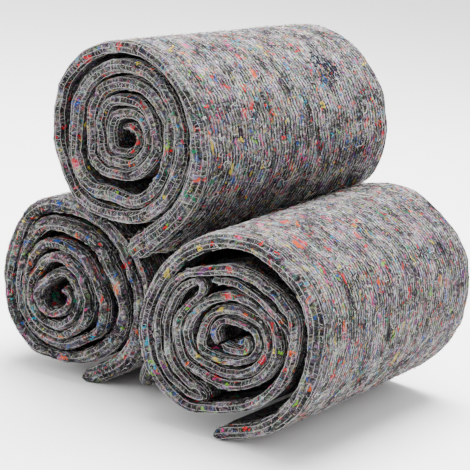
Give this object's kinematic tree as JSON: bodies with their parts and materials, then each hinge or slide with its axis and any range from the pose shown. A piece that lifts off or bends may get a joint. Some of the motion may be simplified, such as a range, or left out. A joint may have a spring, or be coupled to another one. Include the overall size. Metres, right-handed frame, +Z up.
{
  "type": "stack of moving blankets",
  "caption": "Rolled padded felt moving blankets lying in a small pyramid, spiral folded ends facing the front.",
  "frame": {"origin": "middle of the pile's footprint, on the ground", "axes": "+X across the pile from the left roll to the right roll, +Y from the near spiral ends to the far ends, +Z up"},
  "size_m": [0.4646, 0.4018, 0.4011],
  "materials": {
    "felt_top": "mottled grey recycled felt",
    "felt_left": "mottled grey recycled felt",
    "felt_right": "mottled grey recycled felt"
  },
  "bodies": {
    "root": {"roll_top": "felt_top", "roll_left": "felt_left", "roll_right": "felt_right"}
  },
  "joints": []
}
